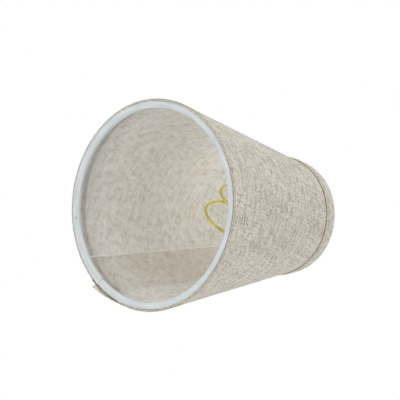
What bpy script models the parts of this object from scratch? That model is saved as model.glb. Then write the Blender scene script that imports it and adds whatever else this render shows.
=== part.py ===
"""A small clip-on empire lamp shade, standing on its wide rim, +Z up.

A sheet of oatmeal fabric and the clear film that stiffens it are rolled into a
cone. At the seam the fabric's last end laps over its first one outside, and the
film's last end laps under its first one inside. The cone is held open by a taped
wire ring at the bottom and by a wire ring under a self-fabric band at the top. A
bent wire bar hangs the bulb clip from the top ring: two egg-shaped wire jaws that
spring apart on a bulb.
The origin is the middle of the wide rim, in the plane that it stands on.
"""

import math

import bmesh
import bpy
from mathutils import Vector

MM = 0.001
DEGREE = math.pi / 180

# Shade: the cover's outer face, measured on the standing shade.
HEIGHT = 150 * MM
BOTTOM_RADIUS = 65 * MM
TOP_RADIUS = 38.5 * MM
EDGE_LIFT = 0.5 * MM

# Sheet stack. Each sheet starts at its own angle and runs one turn and a lap.
FABRIC = 0.4 * MM
FILM = 0.3 * MM
FABRIC_START = 74 * DEGREE
FILM_START = 89 * DEGREE
LAP_ANGLE = 15 * DEGREE
RAMP_ANGLE = 12 * DEGREE

# Rings, tape and band.
BOTTOM_WIRE = 1.3 * MM
TOP_WIRE = 1.0 * MM
TAPE = 0.4 * MM
TAPE_SIDES = 12
BAND = 0.5 * MM
BAND_OUTSIDE = 11.5 * MM
BAND_INSIDE = 6 * MM
BAND_CORNER = 1.2 * MM
NOTCH_DEPTH = 2 * MM
NOTCH_OVERRUN = 3 * MM

# Bulb clip and the bar that carries it.
BAR_WIRE = 1.0 * MM
BAR_DROP = 23.5 * MM
BAR_FLAT = 9 * MM
BAR_END_RUN = 4 * MM
CLIP_WIRE = 0.9 * MM
NECK_GAP = 1.2 * MM
BRIDGE_HALF = 3.4 * MM
JAW_HALF_WIDTH = 18.2 * MM
JAW_LOWER_HEIGHT = 28.8 * MM
JAW_UPPER_HEIGHT = 15.2 * MM
JAW_CENTRE_DROP = 22.2 * MM
JAW_SPREAD = 7.7 * MM
JAW_LEAN = 2.1 * DEGREE
NECK_BEND = 1.1 * MM
BAR_BEND = 5 * MM
SHOULDER_ANGLE = 18 * DEGREE

# Fits and mesh fineness. Glued layers lie closer than pieces that only touch.
GAP = 0.3 * MM
GLUE_GAP = 0.15 * MM
TURN_STEPS = 72
WIRE_STEPS = 8
JAW_STEPS = 40
CORNER_STEPS = 4

# What follows from the sizes above.
SLOPE = (BOTTOM_RADIUS - TOP_RADIUS) / HEIGHT
LAP_STEP = FABRIC + GLUE_GAP
STACK = FABRIC + GLUE_GAP + FILM
TOP_EDGE = HEIGHT - BAND - GAP
TAPE_MID = BOTTOM_WIRE + GAP + TAPE / 2
TAPE_FLAT = TAPE_MID * math.cos(math.pi / TAPE_SIDES) + TAPE / 2
TAPE_OUTER = TAPE_FLAT / math.cos(math.pi / TAPE_SIDES)
NECK_OFFSET = CLIP_WIRE + NECK_GAP / 2


def cover_radius(height):
    """Radius of the cover's outer face at a height."""
    return BOTTOM_RADIUS - SLOPE * height


def clear_radius(height):
    """Largest radius at a height that stays inside the film's lap."""
    return cover_radius(height) - STACK - LAP_STEP - GAP


BOTTOM_RING_RADIUS = clear_radius(TAPE_FLAT) - TAPE_OUTER * math.hypot(1, SLOPE)
TOP_RING_HEIGHT = TOP_EDGE - TOP_WIRE
TOP_RING_RADIUS = clear_radius(TOP_EDGE) - TOP_WIRE
BAND_INNER_RADIUS = TOP_RING_RADIUS - TOP_WIRE - GAP - BAND / 2
BAR_END_HEIGHT = TOP_RING_HEIGHT - TOP_WIRE - GAP - BAR_WIRE
BAR_HEIGHT = BAR_END_HEIGHT - BAR_DROP
BRIDGE_HEIGHT = BAR_HEIGHT - BAR_WIRE - GAP - CLIP_WIRE
JAW_CENTRE = BRIDGE_HEIGHT - JAW_CENTRE_DROP


def clear_scene():
    for obj in list(bpy.data.objects):
        bpy.data.objects.remove(obj, do_unlink=True)


def collection(name):
    made = bpy.data.collections.new(name)
    bpy.context.scene.collection.children.link(made)
    return made


def material(name, colour, roughness, metallic=0.0, alpha=1.0):
    made = bpy.data.materials.new(name)
    made.use_nodes = True
    shader = made.node_tree.nodes["Principled BSDF"]
    shader.inputs["Base Color"].default_value = (*colour, 1.0)
    shader.inputs["Roughness"].default_value = roughness
    shader.inputs["Metallic"].default_value = metallic
    shader.inputs["Alpha"].default_value = alpha
    return made


def finish(obj, name, finish_material, group):
    """Names an object, gives it its material and puts it in its collection."""
    obj.name = name
    obj.data.name = name
    obj.data.materials.append(finish_material)
    for holder in list(obj.users_collection):
        holder.objects.unlink(obj)
    group.objects.link(obj)
    return obj


def mesh_object(name, build):
    """A new object whose mesh is filled by build(bmesh)."""
    mesh = bpy.data.meshes.new(name)
    work = bmesh.new()
    build(work)
    work.to_mesh(mesh)
    work.free()
    mesh.shade_smooth()
    mesh.set_sharp_from_angle(angle=35 * DEGREE)
    return bpy.data.objects.new(name, mesh)


def solidify(obj, thickness):
    """Grows an open surface equally to both sides."""
    modifier = obj.modifiers.new("thickness", "SOLIDIFY")
    modifier.thickness = thickness
    modifier.offset = 0.0
    modifier.use_even_offset = True


def turn(obj):
    """Turns a profile in the XZ plane once round Z."""
    modifier = obj.modifiers.new("turn", "SCREW")
    modifier.axis = "Z"
    modifier.steps = TURN_STEPS
    modifier.render_steps = TURN_STEPS
    modifier.use_merge_vertices = True
    modifier.merge_threshold = 1e-5


def rounded(points, radius):
    """The path through the points with every inner corner turned into an arc."""
    path = [Vector(points[0])]
    for before, corner, after in zip(points, points[1:], points[2:]):
        corner = Vector(corner)
        back = (Vector(before) - corner).normalized()
        ahead = (Vector(after) - corner).normalized()
        half = back.angle(ahead) / 2
        setback = radius / math.tan(half)
        centre = corner + (back + ahead).normalized() * radius / math.sin(half)
        start = (corner + back * setback - centre).normalized()
        end = (corner + ahead * setback - centre).normalized()
        for step in range(CORNER_STEPS + 1):
            path.append(centre + start.slerp(end, step / CORNER_STEPS) * radius)
    path.append(Vector(points[-1]))
    return path


def wire(name, points, radius):
    """A round wire with flat ends along the points."""
    data = bpy.data.curves.new(name, "CURVE")
    data.dimensions = "3D"
    data.bevel_depth = radius
    data.bevel_resolution = 2
    data.use_fill_caps = True
    spline = data.splines.new("POLY")
    spline.points.add(len(points) - 1)
    for point, place in zip(spline.points, points):
        point.co = (*place, 1.0)
    spline.use_smooth = True
    return bpy.data.objects.new(name, data)


def hoop(name, radius, wire_radius, height):
    """A closed wire ring about the Z axis."""
    bpy.ops.mesh.primitive_torus_add(
        major_radius=radius,
        minor_radius=wire_radius,
        major_segments=TURN_STEPS,
        minor_segments=WIRE_STEPS,
        location=(0, 0, height),
    )
    made = bpy.context.active_object
    made.data.shade_smooth()
    made.name = name
    return made


def lap_share(angle):
    """How far a sheet has stepped over to its lapped layer at an angle, 0 to 1."""
    past = (angle - (FABRIC_START + 2 * math.pi - RAMP_ANGLE)) / RAMP_ANGLE
    ease = min(max(past, 0.0), 1.0)
    return ease * ease * (3 - 2 * ease)


def rolled_sheet(name, depth, thickness, start, lap_step):
    """A sheet rolled into the cone, its last end stepped outward by lap_step."""
    whole = 2 * math.pi + LAP_ANGLE
    steps = round(whole / (2 * math.pi) * TURN_STEPS)
    angles = [start + whole * step / steps for step in range(steps + 1)]

    def ring_point(angle, height):
        radius = cover_radius(height) - depth + lap_step * lap_share(angle)
        return Vector((radius * math.cos(angle), radius * math.sin(angle), height))

    def build(work):
        rows = []
        for height in (EDGE_LIFT, TOP_EDGE):
            row = [work.verts.new(ring_point(angle, height)) for angle in angles]
            rows.append([work.edges.new(pair) for pair in zip(row, row[1:])])
        faces = bmesh.ops.bridge_loops(work, edges=rows[0] + rows[1])["faces"]
        faces[0].normal_update()
        if faces[0].normal.dot(faces[0].calc_center_median()) < 0:
            bmesh.ops.reverse_faces(work, faces=faces)

    made = mesh_object(name, build)
    solidify(made, thickness)
    return made


def profile_object(name, points):
    """An open chain of edges in the XZ plane, ready to be turned."""

    def build(work):
        verts = [work.verts.new((radius, 0, height)) for radius, height in points]
        for pair in zip(verts, verts[1:]):
            work.edges.new(pair)

    return mesh_object(name, build)


def rim_tape():
    """The tape rolled round the bottom ring, open where the ring meets the liner."""
    side = 2 * math.pi / TAPE_SIDES
    points = []
    for step in range(TAPE_SIDES):
        angle = -side / 2 - step * side
        points.append(
            (
                BOTTOM_RING_RADIUS + TAPE_MID * math.cos(angle),
                TAPE_FLAT + TAPE_MID * math.sin(angle),
            )
        )
    made = profile_object("rim_tape", points)
    turn(made)
    solidify(made, TAPE)
    return made


def top_band():
    """The self-fabric band: down the outside, over the top ring and in behind it."""
    reach = LAP_STEP + GAP + BAND / 2
    low = TOP_EDGE - BAND_OUTSIDE
    crown = HEIGHT - BAND / 2
    corners = [
        (BAND_INNER_RADIUS, 0, crown - BAND_INSIDE),
        (BAND_INNER_RADIUS, 0, crown),
        (cover_radius(crown) + reach, 0, crown),
        (cover_radius(low) + reach, 0, low),
    ]
    points = [(place.x, place.z) for place in rounded(corners, BAND_CORNER)]
    made = profile_object("top_band", points)
    turn(made)
    solidify(made, BAND)
    return made


def cut_notch(target, side, group):
    """Cuts the band's inner leg so that the bar can pass out to the ring."""
    width = 2 * (BAR_WIRE + GAP)
    roof = BAR_END_HEIGHT + BAR_WIRE + GAP
    floor = HEIGHT - BAND_INSIDE - NOTCH_OVERRUN
    bpy.ops.mesh.primitive_cube_add(size=1)
    cutter = bpy.context.active_object
    cutter.scale = (NOTCH_DEPTH, width, roof - floor)
    cutter.location = (side * BAND_INNER_RADIUS, 0, (roof + floor) / 2)
    cutter.name = "notch_cutter_" + ("right" if side > 0 else "left")
    cutter.hide_render = True
    cutter.display_type = "WIRE"
    for holder in list(cutter.users_collection):
        holder.objects.unlink(cutter)
    group.objects.link(cutter)
    modifier = target.modifiers.new(cutter.name, "BOOLEAN")
    modifier.operation = "DIFFERENCE"
    modifier.solver = "EXACT"
    modifier.object = cutter


def support_bar():
    """One bent wire from side to side under the top ring, dropped to the clip."""
    knee = TOP_RING_RADIUS - TOP_WIRE - BAR_END_RUN
    corners = [
        (-TOP_RING_RADIUS, 0, BAR_END_HEIGHT),
        (-knee, 0, BAR_END_HEIGHT),
        (-BAR_FLAT, 0, BAR_HEIGHT),
        (BAR_FLAT, 0, BAR_HEIGHT),
        (knee, 0, BAR_END_HEIGHT),
        (TOP_RING_RADIUS, 0, BAR_END_HEIGHT),
    ]
    return wire("support_bar", rounded(corners, BAR_BEND), BAR_WIRE)


def bridge_wire(side):
    """One of the two short runs of clip wire under the bar, between the jaws."""
    name = "clip_bridge_right" if side > 0 else "clip_bridge_left"
    across = side * NECK_OFFSET
    ends = [
        (across, -BRIDGE_HALF, BRIDGE_HEIGHT),
        (across, BRIDGE_HALF, BRIDGE_HEIGHT),
    ]
    return wire(name, ends, CLIP_WIRE)


def jaw_plane(across, height, side):
    """A point of a jaw's leaning plane."""
    outward = JAW_SPREAD + (JAW_CENTRE - height) * math.tan(JAW_LEAN)
    return Vector((across, side * outward, height))


def jaw(name, side):
    """An egg-shaped loop of wire whose two ends rise to the bridge."""
    head = JAW_CENTRE + JAW_UPPER_HEIGHT
    neck_end = (NECK_OFFSET, side * (BRIDGE_HALF + GAP), BRIDGE_HEIGHT)
    elbow = jaw_plane(NECK_OFFSET, BRIDGE_HEIGHT, side)
    throat = jaw_plane(NECK_OFFSET, head, side)
    start = math.pi / 2 - SHOULDER_ANGLE
    sweep = 2 * math.pi - 2 * SHOULDER_ANGLE
    oval = []
    for step in range(JAW_STEPS + 1):
        angle = start - sweep * step / JAW_STEPS
        reach = JAW_UPPER_HEIGHT if math.sin(angle) > 0 else JAW_LOWER_HEIGHT
        across = JAW_HALF_WIDTH * math.cos(angle)
        height = JAW_CENTRE + reach * math.sin(angle)
        oval.append(jaw_plane(across, height, side))
    neck = rounded([neck_end, elbow, throat, oval[0]], NECK_BEND)[:-1]
    other = [Vector((-place.x, place.y, place.z)) for place in reversed(neck)]
    return wire(name, neck + oval + other, CLIP_WIRE)


def hinge_empty(name, side, group):
    """The line that a jaw springs about, along X at the end of the bridge."""
    empty = bpy.data.objects.new(name, None)
    empty.location = (0, side * (BRIDGE_HALF + GAP), BRIDGE_HEIGHT + CLIP_WIRE)
    group.objects.link(empty)
    bpy.context.view_layer.update()
    return empty


def hang_on(child, parent):
    child.parent = parent
    child.matrix_parent_inverse = parent.matrix_world.inverted()


def main():
    clear_scene()
    shade = collection("lamp_shade")
    cutters = collection("cutters")
    linen = material("oatmeal_fabric", (0.52, 0.49, 0.42), 0.9)
    film = material("clear_film", (0.55, 0.53, 0.48), 0.35, alpha=0.6)
    tape = material("white_tape", (0.72, 0.76, 0.76), 0.45)
    steel = material("ring_wire", (0.6, 0.6, 0.58), 0.35, 1.0)
    brass = material("brass_plated_wire", (0.8, 0.68, 0.36), 0.25, 1.0)

    cover_name, liner_name = "fabric_cover", "film_liner"
    film_depth = STACK - FILM / 2
    cover = rolled_sheet(cover_name, FABRIC / 2, FABRIC, FABRIC_START, LAP_STEP)
    liner = rolled_sheet(liner_name, film_depth, FILM, FILM_START, -LAP_STEP)
    finish(cover, cover_name, linen, shade)
    finish(liner, liner_name, film, shade)
    finish(rim_tape(), "rim_tape", tape, shade)
    finish(
        hoop("bottom_ring", BOTTOM_RING_RADIUS, BOTTOM_WIRE, TAPE_FLAT),
        "bottom_ring",
        steel,
        shade,
    )
    finish(
        hoop("top_ring", TOP_RING_RADIUS, TOP_WIRE, TOP_RING_HEIGHT),
        "top_ring",
        steel,
        shade,
    )
    band = finish(top_band(), "top_band", linen, shade)
    for side in (1, -1):
        cut_notch(band, side, cutters)
        bridge = bridge_wire(side)
        finish(bridge, bridge.name, brass, shade)
    finish(support_bar(), "support_bar", brass, shade)
    for label, side in (("a", 1), ("b", -1)):
        hinge = hinge_empty("jaw_hinge_" + label, side, shade)
        hang_on(finish(jaw("jaw_" + label, side), "jaw_" + label, brass, shade), hinge)


main()
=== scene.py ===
"""Visual model of a small clip-on empire lamp shade, built round its CAD frame.

Each sub-assembly is a class that builds its pieces in metres, in the CAD's own frame:
the linen cover, the film liner, the taped wide rim, the band round the narrow end and
the sprung bulb clip. Each finish is a small frozen class that makes one material.
"""

import logging
import math
from collections.abc import Callable, Sequence
from dataclasses import dataclass
from enum import Enum

import bpy
from mathutils import Matrix, Vector, noise


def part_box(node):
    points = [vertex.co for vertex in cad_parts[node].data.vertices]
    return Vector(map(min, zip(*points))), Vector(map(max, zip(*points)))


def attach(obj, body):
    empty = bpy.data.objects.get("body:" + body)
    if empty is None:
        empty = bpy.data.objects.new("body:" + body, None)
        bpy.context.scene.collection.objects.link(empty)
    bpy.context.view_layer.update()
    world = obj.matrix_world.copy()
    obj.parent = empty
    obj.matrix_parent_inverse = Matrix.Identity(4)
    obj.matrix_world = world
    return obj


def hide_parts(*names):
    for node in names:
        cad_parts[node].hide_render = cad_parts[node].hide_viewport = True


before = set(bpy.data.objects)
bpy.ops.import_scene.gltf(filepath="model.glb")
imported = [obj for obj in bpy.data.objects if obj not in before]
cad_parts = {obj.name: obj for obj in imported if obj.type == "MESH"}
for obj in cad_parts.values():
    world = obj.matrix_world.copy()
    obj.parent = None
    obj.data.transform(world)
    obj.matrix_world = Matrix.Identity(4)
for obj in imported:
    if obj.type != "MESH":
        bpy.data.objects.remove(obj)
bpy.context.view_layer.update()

MM = 0.001
DEGREE = math.pi / 180
FULL_TURN = 2 * math.pi
LOG = logging.getLogger("lamp_shade")
MADE: dict[str, bpy.types.Material] = {}


class Body(Enum):
    """The CAD bodies that a piece can ride on."""

    SHADE = "shade"
    JAW_A = "jaw_a"
    JAW_B = "jaw_b"


class Slot(Enum):
    """The record's material slots."""

    LINEN = "oatmeal_fabric"
    FILM = "clear_film"
    TAPE = "white_tape"
    RING = "ring_wire"
    BRASS = "brass_plated_wire"


class Map(Enum):
    """The UV maps that a woven or rolled piece carries, both in metres."""

    GRAIN = "grain"
    PLACE = "place"


# ---------------------------------------------------------------- small helpers


def linear(colour: str) -> tuple[float, float, float, float]:
    """Turns an sRGB hex colour to linear light.

    Args:
        colour: The colour as "#rrggbb".

    Returns:
        Red, green, blue and an alpha of 1.
    """
    parts = [int(colour[at : at + 2], 16) / 255 for at in (1, 3, 5)]
    red, green, blue = (
        part / 12.92 if part <= 0.04045 else ((part + 0.055) / 1.055) ** 2.4
        for part in parts
    )
    return red, green, blue, 1.0


def add(
    tree: bpy.types.NodeTree, kind: str, inputs: dict | None = None, **settings: object
) -> bpy.types.Node:
    """Adds one node with its settings, values and links.

    Args:
        tree: The node tree to add to.
        kind: The node's type name.
        inputs: A value or an output socket for each input, by name or number.
        **settings: The node's own properties.

    Returns:
        The new node.
    """
    made = tree.nodes.new(kind)
    for key, value in settings.items():
        setattr(made, key, value)
    for key, value in (inputs or {}).items():
        if isinstance(value, bpy.types.NodeSocket):
            tree.links.new(value, made.inputs[key])
        else:
            made.inputs[key].default_value = value
    return made


def smooth_step(value: float) -> float:
    """Eases a value from 0 to 1, and holds it there outside that range."""
    held = min(max(value, 0.0), 1.0)
    return held * held * (3 - 2 * held)


def rounded(points: Sequence[Sequence[float]], radius: float, steps: int) -> list[Vector]:
    """Turns every inner corner of a path into an arc.

    Args:
        points: The path's corners, its two ends among them.
        radius: The arcs' radius.
        steps: The straight runs that stand for each arc.

    Returns:
        The points of the rounded path.
    """
    path = [Vector(points[0])]
    for before, middle, after in zip(points, points[1:], points[2:]):
        corner = Vector(middle)
        back = (Vector(before) - corner).normalized()
        ahead = (Vector(after) - corner).normalized()
        half = back.angle(ahead) / 2
        centre = corner + (back + ahead).normalized() * radius / math.sin(half)
        start = (corner + back * radius / math.tan(half) - centre).normalized()
        end = (corner + ahead * radius / math.tan(half) - centre).normalized()
        for step in range(steps + 1):
            path.append(centre + start.slerp(end, step / steps) * radius)
    path.append(Vector(points[-1]))
    return path


def link(name: str, mesh: bpy.types.Mesh) -> bpy.types.Object:
    """Puts a mesh in the scene as an object at the origin."""
    mesh.name = name
    made = bpy.data.objects.new(name, mesh)
    bpy.context.scene.collection.objects.link(made)
    return made


def path_object(name: str, points: Sequence[Vector], closed: bool = False) -> bpy.types.Object:
    """A chain of edges for a node tree to follow.

    Args:
        name: The object's name.
        points: The chain's points in order.
        closed: Whether the last point joins the first one.

    Returns:
        The new object.
    """
    edges = [(at, at + 1) for at in range(len(points) - 1)]
    if closed:
        edges.append((len(points) - 1, 0))
    mesh = bpy.data.meshes.new(name)
    mesh.from_pydata([tuple(point) for point in points], edges, [])
    return link(name, mesh)


def circle(radius: float, height: float, steps: int) -> list[Vector]:
    """The points of a level circle about the Z axis."""
    turns = [FULL_TURN * step / steps for step in range(steps)]
    return [Vector((radius * math.cos(a), radius * math.sin(a), height)) for a in turns]


def freeze(obj: bpy.types.Object, sharp: float = 35.0) -> bpy.types.Object:
    """Applies an object's modifiers, and shades it smooth up to an angle.

    Args:
        obj: The object, which keeps its name.
        sharp: The angle in degrees past which an edge stays sharp.

    Returns:
        The same object with a plain mesh.
    """
    graph = bpy.context.evaluated_depsgraph_get()
    mesh = bpy.data.meshes.new_from_object(obj.evaluated_get(graph))
    obj.modifiers.clear()
    obj.data = mesh
    mesh.name = obj.name
    mesh.shade_smooth()
    mesh.set_sharp_from_angle(angle=sharp * DEGREE)
    return obj


def thicken(
    obj: bpy.types.Object,
    thickness: float,
    face: "Finish",
    edge: "Finish",
    offset: float = 0.0,
) -> bpy.types.Object:
    """Gives a surface its finish and its thickness.

    Args:
        obj: An open surface without materials.
        thickness: The wall in metres.
        face: The finish of its face and its back.
        edge: The finish of its cut edges.
        offset: 0 to grow to both sides, -1 to grow against the normals.

    Returns:
        The same object with a plain mesh.
    """
    for finish in (face, face, edge):
        obj.data.materials.append(finish.make())
    modifier = obj.modifiers.new("thickness", "SOLIDIFY")
    modifier.thickness = thickness
    modifier.offset = offset
    modifier.use_even_offset = True
    modifier.material_offset = 1
    modifier.material_offset_rim = 2
    return freeze(obj)


def put(
    obj: bpy.types.Object,
    slot: Slot,
    body: Body = Body.SHADE,
    replaces: Sequence[str] = (),
) -> bpy.types.Object:
    """Makes a finished object a piece of the shade, and reports it.

    Args:
        obj: The finished object.
        slot: The material slot for its finish; not used.
        body: The CAD body that it moves with.
        replaces: The CAD nodes that it stands for.

    Returns:
        The same object.
    """
    if replaces:
        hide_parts(*replaces)
    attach(obj, body.value)
    LOG.info("%s rides on %s: %d faces", obj.name, body.value, len(obj.data.polygons))
    return obj


# ------------------------------------------------------------------- finishes


@dataclass(frozen=True)
class Finish:
    """A material. Each kind of finish dresses the Principled shader its own way."""

    name: str

    def dress(self, tree: bpy.types.NodeTree, shader: bpy.types.Node) -> None:
        """Adds the finish's nodes to the tree, and sets the shader."""
        raise NotImplementedError

    def make(self) -> bpy.types.Material:
        """Makes the material once, under a name that no CAD material has.

        Returns:
            The material, the same one each time.

        Raises:
            ValueError: The name is already a CAD material's.
        """
        if self.name not in MADE:
            if self.name in bpy.data.materials:
                raise ValueError(f"{self.name} is a CAD material's name")
            made = bpy.data.materials.new(self.name)
            made.use_nodes = True
            self.dress(made.node_tree, made.node_tree.nodes["Principled BSDF"])
            MADE[self.name] = made
        return MADE[self.name]


def stretched_noise(
    tree: bpy.types.NodeTree, source: bpy.types.NodeSocket, size: tuple[float, float], shift: float
) -> bpy.types.NodeSocket:
    """Noise that is drawn out along one thread direction.

    Args:
        tree: The material's tree.
        source: The coordinates in metres.
        size: The noise's grain in mm along the two coordinates.
        shift: Moves the pattern, so that two of one size differ.

    Returns:
        The noise from 0 to 1.
    """
    scale = (1 / (size[0] * MM), 1 / (size[1] * MM), 1 / (size[0] * MM))
    place = add(
        tree,
        "ShaderNodeMapping",
        {"Vector": source, "Location": (shift, shift, shift), "Scale": scale},
    )
    made = add(
        tree,
        "ShaderNodeTexNoise",
        {"Vector": place.outputs["Vector"], "Scale": 1.0, "Detail": 2.0, "Roughness": 0.55},
    )
    return made.outputs["Fac"]


def between(
    tree: bpy.types.NodeTree, value: bpy.types.NodeSocket, low: float, high: float
) -> bpy.types.NodeSocket:
    """Stretches the part of a value between two limits to run from 0 to 1.

    Args:
        tree: The material's tree.
        value: The value to stretch.
        low: What becomes 0. It may be more than high, which turns the value over.
        high: What becomes 1.

    Returns:
        The stretched value, held between 0 and 1.
    """
    made = add(
        tree, "ShaderNodeMapRange", {"Value": value, "From Min": low, "From Max": high}
    )
    return made.outputs["Result"]


def maths(
    tree: bpy.types.NodeTree, operation: str, *values: bpy.types.NodeSocket | float
) -> bpy.types.NodeSocket:
    """One sum on one to three values.

    Args:
        tree: The node tree to add to.
        operation: The sum's kind, as the node names it.
        *values: The numbers or sockets.

    Returns:
        The result.
    """
    made = add(tree, "ShaderNodeMath", dict(enumerate(values)), operation=operation)
    return made.outputs[0]


def mix(
    tree: bpy.types.NodeTree,
    factor: bpy.types.NodeSocket | float,
    first: bpy.types.NodeSocket | str,
    second: bpy.types.NodeSocket | str,
    how: str = "MIX",
) -> bpy.types.NodeSocket:
    """Mixes two colours.

    Args:
        tree: The material's tree.
        factor: How much of the second colour shows.
        first: A colour socket, or an sRGB hex colour.
        second: The same for the other colour.
        how: The mix node's blend type.

    Returns:
        The mixed colour.
    """
    colours = [linear(c) if isinstance(c, str) else c for c in (first, second)]
    inputs = {0: factor, 6: colours[0], 7: colours[1]}
    made = add(tree, "ShaderNodeMix", inputs, data_type="RGBA", blend_type=how)
    return made.outputs[2]


def finish_off(
    tree: bpy.types.NodeTree,
    shader: bpy.types.Node,
    values: dict[str, object],
    height: bpy.types.NodeSocket | None = None,
    relief: tuple[float, float] = (0.0, 0.0),
) -> None:
    """Sets the shader's inputs, and gives it a fine relief.

    Args:
        tree: The material's tree.
        shader: The Principled shader.
        values: A value or an output socket for each input, by name.
        height: The relief's height, if there is one.
        relief: The relief's strength, and its depth in mm.
    """
    if height is not None:
        strength, depth = relief
        bump = add(
            tree,
            "ShaderNodeBump",
            {"Strength": strength, "Distance": depth * MM, "Height": height},
        )
        values = {**values, "Normal": bump.outputs["Normal"]}
    for name, value in values.items():
        if isinstance(value, bpy.types.NodeSocket):
            tree.links.new(value, shader.inputs[name])
        else:
            shader.inputs[name].default_value = value


@dataclass(frozen=True)
class OatmealLinen(Finish):
    """Unbleached linen-look cloth, plain woven from uneven yarn, matt and dry.

    To the eye it is a warm grey-beige whose threads cross in short light and dark
    dashes, with brown bast flecks and a few pale slubs, and no gloss at all. The real
    threads lie 0.5 mm apart, which is too fine to show, so they are drawn 1.2 mm apart.
    """

    thread: float = 1.2
    run: float = 8.0
    yarn: float = 70.0
    shade_side: str = "#aaa394"
    light_side: str = "#dedcd2"
    fleck: str = "#7a5d45"
    pale: str = "#e0dcd2"
    fleck_share: float = 0.565
    relief: tuple[float, float] = (0.6, 0.35)

    def dress(self, tree: bpy.types.NodeTree, shader: bpy.types.Node) -> None:
        """Weaves the cloth on the flat cut's own coordinates."""
        grain = add(tree, "ShaderNodeUVMap", uv_map=Map.GRAIN.value).outputs["UV"]
        over = self.crossing(tree, grain)
        warp, weft = (
            maths(
                tree,
                "ADD",
                stretched_noise(tree, grain, size, shift),
                stretched_noise(tree, grain, long_size, shift + 40),
            )
            for size, long_size, shift in (
                ((self.thread, self.run), (self.thread, self.yarn), 3.1),
                ((self.run, self.thread), (self.yarn, self.thread), 7.7),
            )
        )
        yarn = add(tree, "ShaderNodeMix", {0: over, 2: warp, 3: weft}).outputs[0]
        colour = mix(
            tree, between(tree, yarn, 0.72, 1.28), self.shade_side, self.light_side
        )
        soft = stretched_noise(tree, grain, (22.0, 30.0), 1.3)
        colour = mix(
            tree, between(tree, soft, 0.2, 0.8), colour, mix(tree, 0.10, colour, "#9c8f76")
        )
        slub = stretched_noise(tree, grain, (self.run, self.thread * 1.3), 15.2)
        colour = mix(tree, between(tree, slub, 0.66, 0.78), colour, self.pale)
        under = maths(tree, "SUBTRACT", 1.0, over)
        for size, shift, shows, common in (
            ((self.thread, 5.0), 21.0, under, 0.03),
            ((10.0, self.thread), 33.0, over, 0.0),
            ((2.4, 1.1), 47.0, over, 0.05),
        ):
            spots = stretched_noise(tree, grain, size, shift)
            start = self.fleck_share + common
            share = between(tree, spots, start, start + 0.08)
            broken = maths(tree, "MULTIPLY_ADD", shows, 0.6, 0.3)
            seen = maths(tree, "MULTIPLY", share, broken)
            colour = mix(tree, seen, colour, self.fleck)
        height = maths(tree, "ADD", yarn, maths(tree, "MULTIPLY", over, 0.35))
        values = {
            "Base Color": colour,
            "Roughness": 0.95,
            "Specular IOR Level": 0.15,
            "Sheen Weight": 0.12,
            "Sheen Roughness": 0.6,
        }
        finish_off(tree, shader, values, height, self.relief)

    def crossing(
        self, tree: bpy.types.NodeTree, grain: bpy.types.NodeSocket
    ) -> bpy.types.NodeSocket:
        """Where the weft passes over the warp, as in a plain weave.

        Args:
            tree: The material's tree.
            grain: The flat cut's coordinates in metres.

        Returns:
            1 where the weft is on top, and 0 where the warp is.
        """
        parts = add(tree, "ShaderNodeSeparateXYZ", {"Vector": grain}).outputs
        step = math.pi / (self.thread * MM)
        waves = [
            maths(tree, "SINE", maths(tree, "MULTIPLY", parts[axis], step))
            for axis in ("X", "Y")
        ]
        return between(tree, maths(tree, "MULTIPLY", *waves), -0.35, 0.35)


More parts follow.
